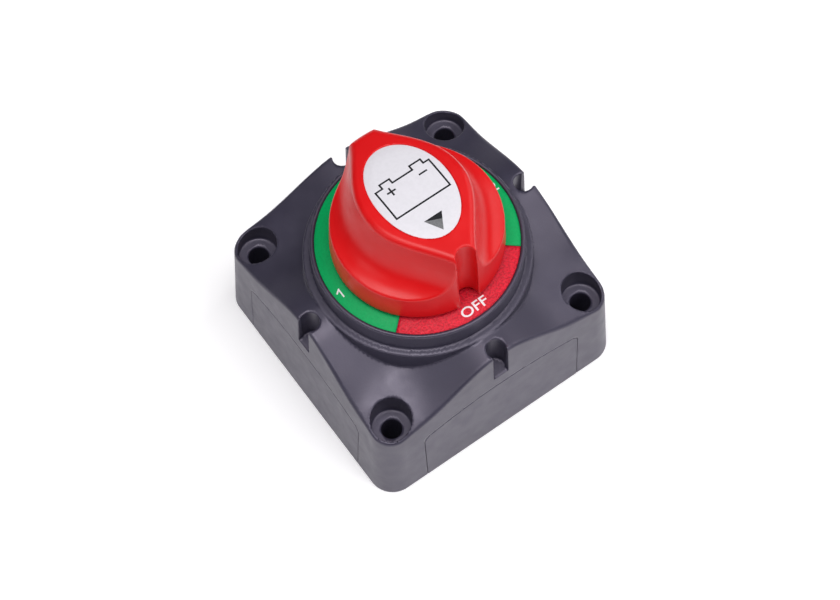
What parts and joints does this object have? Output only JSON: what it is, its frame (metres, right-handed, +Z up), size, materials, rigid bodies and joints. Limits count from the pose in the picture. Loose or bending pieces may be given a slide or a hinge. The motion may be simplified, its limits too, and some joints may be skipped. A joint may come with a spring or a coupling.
{
  "type": "battery switch",
  "caption": "Square surface-mount battery selector switch: dark housing with a round dial, red rotary knob and removable cable-entry side panels.",
  "frame": {"origin": "centre of the housing's underside, on the surface it is mounted on", "axes": "+Z up along the knob's axis, out of the mounting surface; -Y towards the OFF mark, -X towards mark 1, +X towards mark 2"},
  "size_m": [0.069, 0.069, 0.0675],
  "materials": {
    "housing_plastic": "satin dark blue-grey moulded plastic",
    "knob_plastic": "semi-gloss red moulded plastic",
    "dial_print": "printed label film, green with a red sector",
    "decal": "white printed film",
    "seal_rubber": "black rubber",
    "insulator": "black glass-filled plastic",
    "nylon": "natural nylon",
    "copper": null,
    "tinned_copper": null,
    "steel": "stainless steel"
  },
  "bodies": {
    "housing_body": {"housing": "housing_plastic", "side_panel_front": "housing_plastic", "side_panel_right": "housing_plastic", "side_panel_back": "housing_plastic", "side_panel_left": "housing_plastic", "dial_label": "dial_print", "chamber_gasket": "seal_rubber", "shaft_seal": "seal_rubber", "thrust_washer": "nylon", "terminal_plate": "insulator", "plate_screw_1": "steel", "plate_screw_2": "steel", "plate_screw_3": "steel", "common_contact": "copper", "stud_battery_1": "tinned_copper", "flat_washer_battery_1": "steel", "spring_washer_battery_1": "steel", "nut_battery_1": "steel", "stud_battery_2": "tinned_copper", "flat_washer_battery_2": "steel", "spring_washer_battery_2": "steel", "nut_battery_2": "steel", "stud_common": "tinned_copper", "flat_washer_common": "steel", "spring_washer_common": "steel", "nut_common": "steel"},
    "rotor": {"knob": "knob_plastic", "knob_label": "decal", "knob_screw": "steel", "drive_shaft": "steel", "contact_carrier": "nylon", "contact_spring_1": "steel", "contact_spring_2": "steel", "contact_spring_3": "steel", "detent_spring_left": "steel", "detent_spring_right": "steel"},
    "contact_plate": {"moving_contact": "copper"},
    "plunger_left": {"detent_plunger_left": "steel"},
    "plunger_right": {"detent_plunger_right": "steel"}
  },
  "joints": [
    {"name": "knob_turn", "type": "hinge", "parent": "housing_body", "child": "rotor", "pos_m": [0, 0, 0.045], "axis": [0, 0, 1], "continuous": true},
    {"name": "contact_float", "type": "slide", "parent": "rotor", "child": "contact_plate", "axis": [0, 0, 1], "range_m": [0, 0.0006], "stiffness_N_per_m": 1500, "springref_m": -0.002, "deforming": ["contact_spring_1", "contact_spring_2", "contact_spring_3"]},
    {"name": "detent_left", "type": "slide", "parent": "rotor", "child": "plunger_left", "axis": [0, 0, 1], "range_m": [0, 0.0007], "stiffness_N_per_m": 200, "springref_m": 0.003, "deforming": ["detent_spring_left"]},
    {"name": "detent_right", "type": "slide", "parent": "rotor", "child": "plunger_right", "axis": [0, 0, 1], "range_m": [0, 0.0007], "stiffness_N_per_m": 200, "springref_m": 0.003, "deforming": ["detent_spring_right"]}
  ]
}
